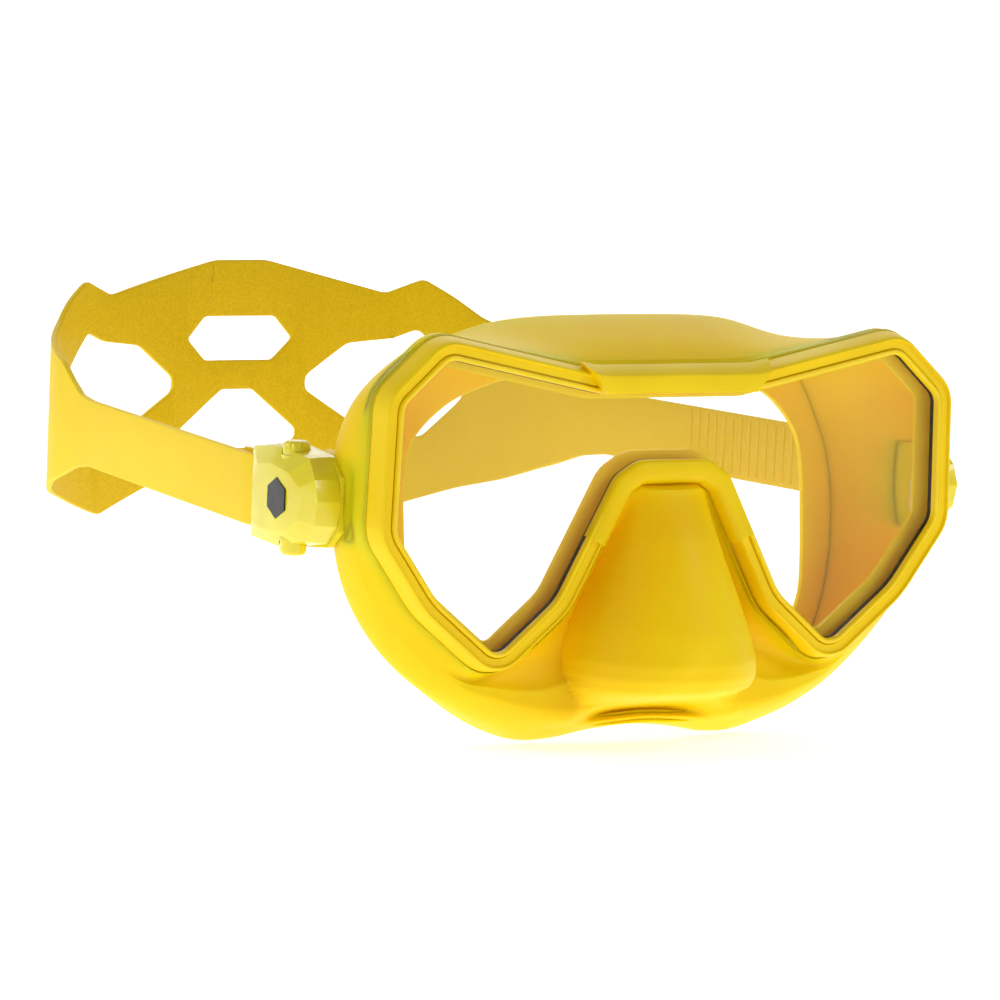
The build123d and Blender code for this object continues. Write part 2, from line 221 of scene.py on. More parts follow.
def polish(mesh, smooth=35.0):
    """Merges doubles, turns the faces outwards and shades them smooth below an edge angle."""
    work = bmesh.new()
    work.from_mesh(mesh)
    bmesh.ops.remove_doubles(work, verts=work.verts, dist=1e-6)
    bmesh.ops.recalc_face_normals(work, faces=work.faces)
    work.to_mesh(mesh)
    work.free()
    mesh.shade_smooth()
    mesh.set_sharp_from_angle(angle=math.radians(smooth))


def grid_faces(rows, columns, close_rows, close_columns):
    """The quads of a grid of points, numbered row by row."""
    faces = []
    for r in range(rows if close_rows else rows - 1):
        for c in range(columns if close_columns else columns - 1):
            r2, c2 = (r + 1) % rows, (c + 1) % columns
            faces.append((r * columns + c, r2 * columns + c, r2 * columns + c2, r * columns + c2))
    return faces


def swept(profile, first=0, count=None):
    """A closed profile of outward offset and depth, swept along the rim. A part sweep is capped."""
    total = len(RIM)
    picks = [(first + k) % total for k in range(count or total)]
    points = []
    for i in picks:
        for out, depth in profile:
            across, level = RIM[i] + RIM_OUT[i] * out
            points.append((across, depth, level))
    faces = grid_faces(len(picks), len(profile), count is None, True)
    if count is not None:
        size = len(profile)
        faces += [list(range(size)), list(range(len(points) - size, len(points)))]
    return points, faces


GASKET = [(-0.12, 1.66), (0.62, 1.66), (0.62, 2.42), (2.55, 2.42), (2.55, 2.84), (-0.12, 2.84)]
black_rubber, place, shader = finish("black_rubber", (0.006, 0.006, 0.007, 1), 0.55)
drive(shader, Roughness=noise(place, 0.002).clamp(0.2, 0.8) * 0.2 + 0.45)
gasket = make_piece("lens_gasket_strip", *swept(GASKET), black_rubber, "mask", "black_rubber")
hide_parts("lens_gasket")

# Retaining ring: a glossy yellow ring that clips into the frame and holds the glass. Its rounded
# lip stands round the opening, with a narrow groove between it and the frame.

SUN = (0.97, 0.70, 0.0, 1)
LIP = [(0.0, 1.62), (0.0, 0.45), (0.1, 0.15), (0.35, -0.05), (0.62, -0.1), (0.9, -0.05), (1.14, 0.15),
       (1.24, 0.45), (1.24, 1.4), (2.6, 1.4), (2.6, 2.35), (0.7, 2.35), (0.7, 1.62)]
lip_yellow, place, shader = finish("lip_yellow", SUN, 0.3, Specular_IOR_Level=0.4)
tone = noise(place, 0.02).clamp(0.3, 0.7)
drive(shader, Base_Color=tone.mix((1.0, 0.73, 0.0, 1), (0.94, 0.67, 0.0, 1)), Roughness=tone * 0.08 + 0.26,
      Normal=bump(noise(place, 0.0006), 0.15, 0.00004))
BRIDGE_TOP = -13.0


def rim_span(level):
    """The first station and the count of the rim's stations outside the notch above a level."""
    notch = [i for i in range(HALF) if RIM[i][0] < 25 and RIM[i][1] < 10 and RIM[i][1] > level]
    first_in = min(notch)
    return (len(RIM) - first_in) % len(RIM), 2 * first_in + 1


lip = make_piece("lens_lip", *swept(LIP, *rim_span(BRIDGE_TOP + 2.5)), lip_yellow, "mask", "lip_yellow")
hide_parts("retaining_ring")

# Frame: the moulded yellow rim that takes the ring, the glass and the skirt. A sunk band runs round
# it, its outer band rolls back to the skirt, and a bar with slanted faces crosses the brow.

FRAME_BAND = [(1.42, 1.3), (1.42, 0.75), (1.52, 0.62), (3.15, 0.62), (3.27, 0.5), (3.31, 0.1), (3.42, -0.04),
              (3.64, -0.06), (3.86, 0.1), (4.12, 0.6), (4.42, 1.6), (4.7, 2.9), (4.95, 4.3), (5.12, 5.4), (5.12, 6.8),
              (2.97, 6.8), (2.97, 2.75), (2.77, 2.6), (2.77, 1.3)]
frame_yellow, place, shader = finish("frame_yellow", SUN, 0.48, Specular_IOR_Level=0.25)
tone = noise(place, 0.03).clamp(0.3, 0.7)
drive(shader, Base_Color=tone.mix((0.98, 0.70, 0.0, 1), (0.92, 0.64, 0.0, 1)), Roughness=tone * 0.1 + 0.42,
      Normal=bump(noise(place, 0.0004), 0.25, 0.00003))
frame_points, frame_faces = swept(FRAME_BAND, *rim_span(BRIDGE_TOP))

# the brow bar: its section from the opening's edge forward and back up to the skirt
BAR_SECTION = [(1.2, 16.45), (-1.75, 16.55), (-2.1, 16.85), (-2.3, 20.1), (-2.15, 20.6), (-1.8, 20.95),
               (1.9, 22.45), (2.9, 22.7), (3.2, 22.4), (3.2, 17.2)]
BAR_LOW_HALF, BAR_HIGH_HALF, BAR_LOW_LEVEL, BAR_RISE = 20.3, 22.9, 17.2, 3.2
# beyond the brow's corner the bar climbs with the rim
BROW_CORNER, BROW_SLOPE, BAR_STEPS = 20, 0.21, 24


def bar_half(level):
    """How far the bar's slanted end lies from the middle at a level."""
    share = (level - BAR_LOW_LEVEL) / BAR_RISE
    return BAR_LOW_HALF + (BAR_HIGH_HALF - BAR_LOW_HALF) * share


bar_points = []
for step in range(BAR_STEPS + 1):
    share = 2 * step / BAR_STEPS - 1
    for depth, level in BAR_SECTION:
        across = share * bar_half(level)
        rise = max(0, abs(across) - BROW_CORNER) * BROW_SLOPE
        bar_points.append((across, depth, level + rise))
size = len(BAR_SECTION)
bar_faces = grid_faces(BAR_STEPS + 1, size, False, True)
bar_faces += [list(range(size)), list(range(len(bar_points) - size, len(bar_points)))]


def joined(*meshes):
    """Several (points, faces) as one."""
    points, faces = [], []
    for more_points, more_faces in meshes:
        start = len(points)
        points += [tuple(p) for p in more_points]
        faces += [[start + k for k in face] for face in more_faces]
    return points, faces


rim_frame = make_piece("rim_frame", *joined((frame_points, frame_faces), (bar_points, bar_faces)),
                       frame_yellow, "mask", "frame_yellow", 28)
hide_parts("frame")

# Skirt: one soft moulding in matt yellow silicone. It grips the frame, reaches back to the wearer's
# face with a forehead flange, a nose pocket and an inner sealing lip, and carries a lug at each side.

# places round the skirt on the wearer's left, from the brow's middle to below the nose: the opening's
# own outline, then the front edge (with its depth), the widest wall, the edge on the face and the seal's hole
ON_OPENING = [(0, 16.4), (10, 16.4), (20, 16.4), (30, 18.5), (40, 20.7), (50, 22.8), (58.6, 24.6),
              (64, 19.6), (69.6, 14.6), (70, 5), (70.2, -4), (70.3, -13.6), (65, -21), (59.6, -28.6),
              (51.5, -35.2), (43.5, -41.8), (36, -35.5), (29, -29.5), (21.7, -15.8), (14.5, -2.2), (0, 1.2)]
FRONT = [(0, 23.2, 6.5), (10, 23.2, 6.5), (20, 23.3, 6.8), (29.5, 24.4, 7.5), (39, 26.1, 8.4), (48.5, 27.7, 9.2),
         (57.6, 28.9, 9.6), (66.2, 24.4, 9.8), (73.6, 16.9, 10), (76.2, 6.6, 10), (76.7, -3.8, 10), (76.2, -15.2, 10),
         (72.6, -25.8, 10), (66.6, -34.4, 10), (58.6, -42.2, 9.4), (48.6, -49, 8), (38.5, -52.4, 6.2),
         (29.5, -54.2, 4.8), (20, -54.6, 3.8), (10, -53.8, 3.3), (0, -53.3, 3.1)]
WALL = [(0, 27.6), (10, 27.6), (19.5, 27.4), (28.5, 26.9), (38.5, 26.8), (48.5, 26.2), (57.2, 24.3),
        (65.4, 19.6), (71.8, 12.8), (75.1, 5.2), (76.0, -3.5), (75.8, -15), (73.6, -26), (68.8, -36),
        (61.6, -44.8), (51.8, -52.4), (40.5, -57.8), (30, -60.2), (20, -60), (10, -58.9), (0, -58.3)]
FACE_EDGE = [(0, 31.4), (10, 31.3), (20, 31.0), (29.5, 30.0), (38.5, 27.6), (45, 24.4), (50, 20.8),
             (55, 14.6), (59, 7.6), (62.4, 0.6), (64.5, -7.5), (65, -17), (63.8, -27.5), (60.5, -37.5),
             (55.5, -46), (48, -53.3), (39, -59.6), (29.5, -63.4), (21, -63.6), (11, -61.8), (0, -60.9)]
SEAL_HOLE = [(0, 18.6), (7, 18.6), (14, 18.4), (21, 17.9), (28.6, 17), (33.1, 15.8), (40.2, 12.8),
             (44.7, 9.6), (48.5, 5.7), (51.3, 1), (52.4, -6), (52.5, -15), (52.3, -25), (51.5, -33),
             (48.5, -39), (43.5, -43.5), (36, -46.5), (28, -48.3), (19, -49.3), (9, -49.7), (0, -49.8)]
FACE_RADIUS, FACE_FRONT = 170.0, 24.0
FACE_LEAN = math.tan(math.radians(6.0))
WALL_SHARE = 0.4


def smooth_through(stops, values, at):
    """A smooth curve through values at rising stops, read at some places."""
    stops, values, at = np.array(stops, float), np.array(values, float), np.array(at, float)
    slopes = np.gradient(values, stops, axis=0)
    i = np.clip(np.searchsorted(stops, at, "right") - 1, 0, len(stops) - 2)
    gap = stops[i + 1] - stops[i]
    t = (at - stops[i]) / gap
    if values.ndim > 1:
        t, gap = t[:, None], gap[:, None]
    a, b, c, d = values[i], values[i + 1], slopes[i] * gap, slopes[i + 1] * gap
    return a + c * t + (3 * (b - a) - 2 * c - d) * t**2 + (2 * (a - b) + c + d) * t**3


# how far each rim station lies along the list of places
station_keys = [int(np.argmin(np.hypot(*(half_points - np.array(p)).T))) for p in ON_OPENING]
lengths = np.concatenate(([0], np.cumsum(np.hypot(*np.diff(half_points, axis=0).T))))
places = np.interp(lengths, lengths[station_keys], range(len(ON_OPENING)))


def face_depth(flat):
    """How far back the wearer's face is, at places across and up."""
    return FACE_FRONT + FACE_RADIUS - np.sqrt(FACE_RADIUS**2 - flat[:, 0] ** 2) + FACE_LEAN * flat[:, -1]


def mirrored_ends(values):
    """The list, run past its ends as its own mirror image, so that the curve crosses the middle level."""
    values = np.array(values, float)
    flipped = values * np.array([-1] + [1] * (values.shape[1] - 1))
    return np.vstack((flipped[1], values, flipped[-2]))


def ring(values):
    """A list of places as one point for each station of the wearer's left half."""
    return smooth_through(range(-1, len(values) + 1), mirrored_ends(values), places)


def with_depth(flat, depth):
    """Across and up, with a depth between them."""
    return np.column_stack((flat[:, 0], depth, flat[:, 1]))


SEAL_CURL = 1.2
front = ring(FRONT)
front = with_depth(front[:, :2], front[:, 2])
edge = ring(FACE_EDGE)
edge = with_depth(edge, face_depth(edge))
wall = ring(WALL)
wall = with_depth(wall, front[:, 1] + WALL_SHARE * (edge[:, 1] - front[:, 1]))
hole = ring(SEAL_HOLE)
hole = with_depth(hole, face_depth(hole) - SEAL_CURL)
PART_LINE, PART_DEPTH = 5.22, 5.3
# the skirt starts behind the frame's outer band, and in the notch it starts at the bridge's lower edge
NOTCH_PLACE, NOTCH_BLEND, NOTCH_DEPTH, NOTCH_OUT = 14.5, 1.5, 2.6, 0.5
notch = np.clip((places - NOTCH_PLACE) / NOTCH_BLEND, 0, 1)
start_depth = PART_DEPTH - (PART_DEPTH - NOTCH_DEPTH) * notch
start_out = PART_LINE + NOTCH_OUT * notch
start = with_depth(half_points + half_normals * start_out[:, None], start_depth)
under = with_depth(half_points + half_normals * (start_out - 0.5)[:, None], start_depth + 1.4)

# the nose pocket: level, half width, reach in front of the opening's plane, and how square its section is
NOSE = [(2, 7, -0.6, 2.6), (-4, 9.4, 0.2, 2.6), (-6.5, 10.4, 1.6, 2.4), (-10, 11.6, 4.4, 2.2), (-15, 13, 8.0, 2.1),
        (-21, 15.2, 11.0, 2.0), (-27, 17.8, 13.4, 2.0), (-36, 21.4, 16.4, 2.0), (-43, 23.2, 17.8, 2.1),
        (-46.5, 23.4, 17.0, 2.2), (-49.4, 22.8, 14.2, 2.3), (-51, 22, 9.6, 2.3), (-52.2, 21.4, 4.4, 2.3),
        (-53.2, 21, -2, 2.3), (-54.2, 20.5, -8.9, 2.3), (-70, 20, -8.9, 2.3)]
NOSE_BACK = 9.0
BLEND_LEVELS, BLEND_REACH = (-55, -44), (11.0, 3.2)
# a dent at the nose's tip, and the valley at each side of the nose
DIMPLE_DEPTH, DIMPLE_LEVEL, DIMPLE_SPREAD = 1.1, -44, 3.2
VALLEY, VALLEY_END, VALLEY_SHAPE = 5.0, 0.8, 0.8


def nose_front(across, level):
    """The depth of the nose pocket's front at a place, far back beside it."""
    table = np.array(NOSE[::-1], float)
    level = np.clip(level, table[0, 0], table[-1, 0])
    half, reach, square = np.array([np.interp(level, table[:, 0], table[:, k]) for k in (1, 2, 3)])
    share = np.clip(np.abs(across) / half, 0, 1)
    dome = (1 - share**square) ** (1 / square)
    dimple = DIMPLE_DEPTH * np.exp(-(across**2 + (level - DIMPLE_LEVEL) ** 2) / 2 / DIMPLE_SPREAD**2)
    return NOSE_BACK - (reach + NOSE_BACK) * dome + dimple


def blend_front(first, second, reach):
    """The nearer of two depths to the front, rounded where they meet."""
    meet = np.clip(0.5 + 0.5 * (first - second) / reach, 0, 1)
    return first * (1 - meet) + second * meet - reach * meet * (1 - meet)


APRON_ROWS, BACK_ROWS, FLANGE_ROWS, APRON_BOW = 64, 30, 10, 1.4
rows = [under, under * 0.4 + start * 0.6 + (0, 0.2, 0), start]
bow = half_normals * (1 - notch)[:, None]
for k in range(1, APRON_ROWS + 1):
    t = k / APRON_ROWS
    row = start + (front - start) * t
    row[:, [0, 2]] += bow * APRON_BOW * t * (1 - t) ** 2
    row[:, 1] += VALLEY * math.sin(math.pi * min(1, t / VALLEY_END)) ** VALLEY_SHAPE * notch
    reach = np.interp(row[:, 2], BLEND_LEVELS, BLEND_REACH)
    nose = blend_front(nose_front(row[:, 0], row[:, 2]), row[:, 1], reach)
    row[:, 1] = row[:, 1] * (1 - notch) + nose * notch
    rows.append(row)
# from the front edge back to the face, and round the thin edge on to the sealing lip
back_path = [rows[-4], rows[-1], wall, edge + (0, -0.6, 0), edge + (0, 0.3, 0)]
inward = hole - edge
inward /= np.linalg.norm(inward, axis=1)[:, None]
back_path += [edge + inward * 1.6 + (0, 0.35, 0)]
stops = [-0.15, 0, 1, 1.9, 2.0, 2.1]
back_path = np.array(back_path)
for k in range(1, BACK_ROWS + 1):
    at = stops[-1] * k / BACK_ROWS
    flat = smooth_through(stops, back_path.reshape(len(stops), -1), np.array([at]))
    rows.append(flat.reshape(HALF, 3))
last = rows[-1]
for k in range(1, FLANGE_ROWS + 1):
    t = k / FLANGE_ROWS
    row = last + (hole - last) * t
    row[:, 1] = face_depth(row) - SEAL_CURL * t * t
    rows.append(row)
skirt_half = np.array(rows)
skirt_rows = len(rows)
mirror = skirt_half[:, -2:0:-1] * (-1, 1, 1)
skirt_all = np.concatenate((skirt_half, mirror), axis=1)
columns = skirt_all.shape[1]
skirt_faces = grid_faces(skirt_rows, columns, False, True)
mesh = bpy.data.meshes.new("skirt_sheet")
mesh.from_pydata((skirt_all.reshape(-1, 3) / 1000).tolist(), [], skirt_faces)
sheet = bpy.data.objects.new("skirt_sheet", mesh)
bpy.context.scene.collection.objects.link(sheet)
work = bmesh.new()
work.from_mesh(mesh)
bmesh.ops.recalc_face_normals(work, faces=work.faces)
work.to_mesh(mesh)
work.free()
# the wall is thin under the frame, 2 mm behind it, and thin again at the sealing lip
thickness = sheet.vertex_groups.new(name="thickness")
for r in range(skirt_rows):
    back_share = (r - 3 - APRON_ROWS) / BACK_ROWS
    share = 0.12 + 0.88 * min(1, r / 12) if r < 3 + APRON_ROWS else max(0.45, 1 - 0.6 * max(0, back_share - 0.4))
    thickness.add(list(range(r * columns, (r + 1) * columns)), share, "REPLACE")
solid = sheet.modifiers.new("wall", "SOLIDIFY")
solid.thickness = 0.0019
solid.offset = -1
solid.vertex_group = "thickness"
solid.thickness_vertex_group = 0.05
solid.use_even_offset = False


def evaluated(made, name):
    """A made object's finished mesh, as a plain new mesh. The made object is removed."""
    bpy.context.view_layer.update()
    result = bpy.data.meshes.new_from_object(made.evaluated_get(bpy.context.evaluated_depsgraph_get()))
    result.name = name
    bpy.data.objects.remove(made)
    return result


def from_mesh(mesh):
    """A mesh's points in millimetres and its faces."""
    return [tuple(v.co * 1000) for v in mesh.vertices], [tuple(p.vertices) for p in mesh.polygons]


sheet_points, sheet_faces = from_mesh(evaluated(sheet, "skirt_wall"))

# the seat that the glass lies on, a flat band round the opening
SEAT = [(-1.7, 6.55), (-1.5, 6.45), (2.6, 6.45), (2.8, 6.95), (5.3, 7.0), (5.3, 9.0), (0, 8.6),
        (-1.5, 7.7), (-1.7, 7.5)]
# the smooth bridge over the nose notch, where the skirt covers the ring and the frame
BRIDGE = [(-0.12, 2.38), (-0.14, 0.9), (0.02, 0.35), (0.35, 0.02), (0.9, -0.2), (2.0, -0.38), (3.2, -0.35),
          (4.1, -0.1), (4.7, 0.4), (5.2, 1.3), (5.5, 2.6), (5.5, 5.0), (2.5, 5.0), (2.5, 2.38)]
bridge_first, bridge_count = rim_span(BRIDGE_TOP - 1.5)
bridge_start = (bridge_first + bridge_count - 2) % len(RIM)
bridge_points, bridge_faces = swept(BRIDGE, bridge_start, len(RIM) - bridge_count + 4)
# the lugs, a rounded block at each side that the buckles swing on: the share of the way out from the
# skirt's wall, and how much it grows there
LUG_FACE, LUG_FRONT, LUG_REAR, LUG_LOW, LUG_HIGH, LUG_ROUND = 76.6, 9.8, 31.5, -16.4, 0.6, 3.2
SIDES = {"left": 1, "right": -1}
LUG_LAYERS = [(0, 1.3), (0.4, 0.8), (0.8, 0.3), (0.93, 0), (0.99, -0.5), (1, -1.3)]
WALL_MIDDLE = [(8, 75.4), (20, 74.6), (26, 73.4), (33, 70.4)]


def rounded_box(low, high, radius, steps=6):
    """The outline of a box with rounded corners."""
    points = []
    for corner, (sign_a, sign_b) in enumerate(((1, 1), (-1, 1), (-1, -1), (1, -1))):
        centre = [h - radius if sign > 0 else l + radius for l, h, sign in zip(low, high, (sign_a, sign_b))]
        for k in range(steps + 1):
            angle = math.pi / 2 * (corner + k / steps)
            points.append((centre[0] + radius * math.cos(angle), centre[1] + radius * math.sin(angle)))
    return points


def lofted(layers):
    """Rings of points, one above the other, as a closed solid."""
    size = len(layers[0])
    points = [point for layer in layers for point in layer]
    faces = grid_faces(len(layers), size, False, True)
    return points, faces + [list(range(size)), list(range(len(points) - size, len(points)))]


lugs = []
for way in SIDES.values():
    layers = []
    for share, grow in LUG_LAYERS:
        outline = rounded_box((LUG_FRONT - grow, LUG_LOW - grow), (LUG_REAR + grow, LUG_HIGH + grow), LUG_ROUND)
        roots = [np.interp(y, *zip(*WALL_MIDDLE)) for y, z in outline]
        layers.append([(way * (root + (LUG_FACE - root) * share), y, z) for root, (y, z) in zip(roots, outline)])
    lugs.append(lofted(layers))
skirt_silicone, place, shader = finish("skirt_silicone", SUN, 0.5, Specular_IOR_Level=0.2, Subsurface_Weight=0.6,
                                       Subsurface_Radius=(1.0, 0.55, 0.05), Subsurface_Scale=0.0035)
tone = noise(place, 0.04).clamp(0.3, 0.7)
grain = noise(place, 0.0005)
drive(shader, Base_Color=tone.mix((0.97, 0.69, 0.0, 1), (0.91, 0.62, 0.0, 1)), Roughness=grain * 0.12 + 0.42,
      Normal=bump(grain, 0.3, 0.00004))
skirt_parts = joined((sheet_points, sheet_faces), swept(SEAT), (bridge_points, bridge_faces), *lugs)
skirt = make_piece("skirt_moulding", *skirt_parts, skirt_silicone, "mask", "skirt_silicone", 40)
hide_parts("skirt")

# Lug cores: a white acetal plate is moulded into each lug, and its headed stud is the pin that the
# buckle swings on. The CAD solids have the right shape, and take the plastic's finish.
white_acetal, place, shader = finish("white_acetal", (0.78, 0.77, 0.72, 1), 0.4)
tone = noise(place, 0.004).clamp(0.3, 0.7)
drive(shader, Base_Color=tone.mix((0.8, 0.79, 0.74, 1), (0.72, 0.71, 0.66, 1)), Roughness=tone * 0.15 + 0.32)
for side in SIDES:
    repaint(side + "_lug_core", white_acetal)

# Buckle bodies: each is a base plate and a faceted cover, moulded in a glossy lemon plastic and
# clipped together. The cover is a shell, open at the rear for the strap and bored for the buttons.
STRAP_Z = -8.5
BUTTON_X, BUTTON_Y, BORE_R, BORE_LENGTH = 81.6, 27.0, 3.14, 40.0
COVER_WALL, COVER_EDGE = 1.0, 0.28
# rings of the cover, from its foot to its face: (out, back, up from the strap's middle)
SLOT_HALF = 8.5
FOOT = [(78.15, 13.4, 5.6), (78.15, 17.4, 10.1), (78.15, 28.5, 11.3), (78.15, 42.0, 10.3), (78.15, 42.1, SLOT_HALF),
        (78.15, 42.1, -SLOT_HALF), (78.15, 42.0, -10.6), (78.15, 28.5, -11.3), (78.15, 17.6, -9.3),
        (78.15, 13.2, -5.0), (78.15, 11.9, 0.7)]
CREST = [(84.1, 13.3, 5.5), (83.2, 17.8, 9.8), (83.9, 30.5, 11.0), (84.4, 41.9, 9.9), (84.5, 42.1, SLOT_HALF),
         (84.5, 42.1, -SLOT_HALF), (84.4, 41.9, -10.3), (83.9, 30.4, -11.1), (83.2, 18.6, -8.6),
         (84.1, 13.0, -4.4), (84.2, 11.5, 0.9)]
TABLE = [(85.6, 18.0, 3.4), (85.9, 22.5, 6.2), (86.15, 30.0, 7.4), (86.0, 37.0, 6.6), (85.9, 38.6, 4.0),
         (85.9, 39.4, -5.0), (86.0, 38.0, -7.4), (86.15, 30.0, -7.6), (85.9, 22.5, -6.4),
         (85.6, 18.0, -3.6), (85.5, 16.6, 0.2)]
TABLE_MIDDLE = (86.15, 28.0, 0.0)
REAR_WALL = (4,)


def cover_shell():
    """The cover's outer faces, with no foot and an open slot in the rear wall."""
    size = len(FOOT)
    points = [(x, y, z + STRAP_Z) for x, y, z in FOOT + CREST + TABLE + [TABLE_MIDDLE]]
    faces = [face for k, face in enumerate(grid_faces(3, size, False, True)) if k not in REAR_WALL]
    faces += [(2 * size + k, 2 * size + (k + 1) % size, 3 * size) for k in range(size)]
    return points, faces


def modified(points, faces, name, *steps):
    """A mesh after some modifiers, each given as a kind and its settings."""
    mesh = bpy.data.meshes.new(name)
    mesh.from_pydata([tuple(p) for p in np.asarray(points, float) / 1000], [], [tuple(f) for f in faces])
    polish(mesh)
    made = bpy.data.objects.new(name, mesh)
    bpy.context.scene.collection.objects.link(made)
    for kind, settings in steps:
        step = made.modifiers.new(kind.lower(), kind)
        for key, value in settings.items():
            setattr(step, key, value)
    return evaluated(made, name)


def bored_cover():
    """The cover as a shell, bored through for the two buttons."""
    cutter_mesh = bpy.data.meshes.new("button_bore")
    bore = bmesh.new()
    turn = Matrix.Translation(Vector((BUTTON_X, BUTTON_Y, STRAP_Z)) / 1000)
    bmesh.ops.create_cone(bore, cap_ends=True, segments=40, radius1=BORE_R / 1000, radius2=BORE_R / 1000,
                          depth=BORE_LENGTH / 1000, matrix=turn)
    bore.to_mesh(cutter_mesh)
    bore.free()
    cutter = bpy.data.objects.new("button_bore", cutter_mesh)
    bpy.context.scene.collection.objects.link(cutter)
    mesh = modified(*cover_shell(), "cover", ("SOLIDIFY", {"thickness": COVER_WALL / 1000, "offset": -1}),
                    ("BOOLEAN", {"object": cutter, "operation": "DIFFERENCE", "solver": "EXACT"}),
                    ("BEVEL", {"width": COVER_EDGE / 1000, "segments": 2, "limit_method": "ANGLE",
                               "angle_limit": math.radians(14)}))
    bpy.data.objects.remove(cutter)
    return from_mesh(mesh)


buckle_lemon, place, shader = finish("buckle_lemon", (0.87, 0.73, 0.02, 1), 0.22, Coat_Weight=0.35,
                                     Coat_Roughness=0.08, Subsurface_Weight=0.15, Subsurface_Scale=0.002)
tone = noise(place, 0.012).clamp(0.3, 0.7)
drive(shader, Base_Color=tone.mix((0.90, 0.78, 0.03, 1), (0.82, 0.68, 0.01, 1)), Roughness=tone * 0.08 + 0.18,
      Normal=bump(noise(place, 0.006), 0.25, 0.0002))
cover_points, cover_faces = bored_cover()
for side, way in SIDES.items():
    points = [(way * x, y, z) for x, y, z in cover_points]
    cover = make_piece(side + "_cover_shell", points, cover_faces, buckle_lemon, side + "_buckle", "buckle_lemon", 12)
    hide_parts(side + "_buckle_cover")
    repaint(side + "_buckle_base", buckle_lemon)

# Badges: a plain six-sided plate of glossy black plastic, set into each cover.
badge_black, place, shader = finish("badge_black", (0.004, 0.004, 0.005, 1), 0.25)
drive(shader, Roughness=noise(place, 0.003).clamp(0.3, 0.7) * 0.12 + 0.2)
for side in SIDES:
    repaint(side + "_badge", badge_black)

# Rollers, axles and pawl pins: stainless steel, turned and pressed into the buckle's base. The pawl
# that bites the strap is white acetal. The CAD solids have the right shapes.
stainless, place, shader = finish("stainless", (0.62, 0.61, 0.59, 1), 0.25, Metallic=1.0)
fine = noise(place, 0.0004, 4.0).clamp(0.3, 0.7)
drive(shader, Roughness=fine * 0.15 + 0.2, Normal=bump(fine, 0.2, 0.00002))
for side in SIDES:
    for node, material in (("roller_axle", stainless), ("pawl_pin", stainless), ("strap_roller", white_acetal),
                           ("pawl", white_acetal)):
        repaint(f"{side}_{node}", material)

# Buttons: lemon knobs at the top and bottom of each buckle. The upper one has finger ribs round its
# dome, the lower is plain. A flange keeps each one in, and a stem guides it in its ledge.
# the knob's section from its stem to its dome: radius, level, and how deep the ribs are there
KNOB = [(0, 4.45, 0), (0.8, 4.45, 0), (0.8, 8.66, 0), (3.4, 8.66, 0), (3.4, 9.56, 0), (3.0, 9.56, 0),
        (3.0, 10.6, 0), (3.0, 11.4, 1), (2.94, 11.9, 1), (2.72, 12.35, 1), (2.3, 12.65, 0.9), (1.6, 12.8, 0.3),
        (0.8, 12.84, 0), (0, 12.85, 0)]
KNOB_STEPS, KNOB_RIBS, RIB_DEPTH = 84, 14, 0.2


def knob(upper):
    """A knob turned about its own axis, ribbed if it is the upper one. Its pole is one point at each end."""
    points = [(0, 0, KNOB[0][1])]
    for radius, level, rib in KNOB[1:-1]:
        for k in range(KNOB_STEPS):
            angle = 2 * math.pi * k / KNOB_STEPS
            wave = RIB_DEPTH * rib * (0.5 - 0.5 * math.cos(KNOB_RIBS * angle)) if upper else 0
            points.append(((radius - wave) * math.cos(angle), (radius - wave) * math.sin(angle), level))
    points.append((0, 0, KNOB[-1][1]))
    rings = len(KNOB) - 2
    faces = [tuple(1 + v for v in face) for face in grid_faces(rings, KNOB_STEPS, False, True)]
    top = len(points) - 1
    for k in range(KNOB_STEPS):
        following = (k + 1) % KNOB_STEPS
        faces.append((0, 1 + following, 1 + k))
        faces.append((top, top - KNOB_STEPS + k, top - KNOB_STEPS + following))
    return points, faces


for side, way in SIDES.items():
    for place_name, up_way in (("upper", 1), ("lower", -1)):
        node = f"{side}_{place_name}_button"
        points, faces = knob(up_way > 0)
        points = [(way * BUTTON_X + x, BUTTON_Y + y, STRAP_Z + up_way * z) for x, y, z in points]
        button = make_piece(f"{side}_{place_name}_knob", points, faces, buckle_lemon, node, "buckle_lemon", 40)
        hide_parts(node)

# Springs: a stainless coil under each button pushes it out. It sits between the base's ledge and the button's flange;
# in the real buckle it closes up as the button goes in, and here it is one fixed coil riding on the buckle.


def node_tree(name, sizes):
    """An empty Geometry Nodes tree with named sizes as its inputs, and its group input."""
    tree = bpy.data.node_groups.new(name, "GeometryNodeTree")
    tree.interface.new_socket("Geometry", in_out="OUTPUT", socket_type="NodeSocketGeometry")
    for size_name, kind in sizes.items():
        tree.interface.new_socket(size_name, in_out="INPUT", socket_type="NodeSocket" + kind)
    return tree, tree.nodes.new("NodeGroupInput")


def end_tree(tree, geometry, material):
    """Ends a tree in real geometry with its material."""
    real = geometry.node("GeometryNodeRealizeInstances", Geometry=geometry)
    painted = real.node("GeometryNodeSetMaterial", Geometry=real)
    painted.socket.node.inputs["Material"].default_value = material
    tree.links.new(painted.socket, tree.nodes.new("NodeGroupOutput").inputs[0])


def grown(tree, name, **sizes):
    """The plain mesh that a tree makes, with its sizes set."""
    made = bpy.data.objects.new(name, bpy.data.meshes.new(name))
    bpy.context.scene.collection.objects.link(made)
    step = made.modifiers.new("tree", "NODES")
    step.node_group = tree
    for socket in tree.interface.items_tree:
        if socket.in_out == "INPUT":
            step[socket.identifier] = sizes[socket.name.replace(" ", "_")]
    return evaluated(made, name)


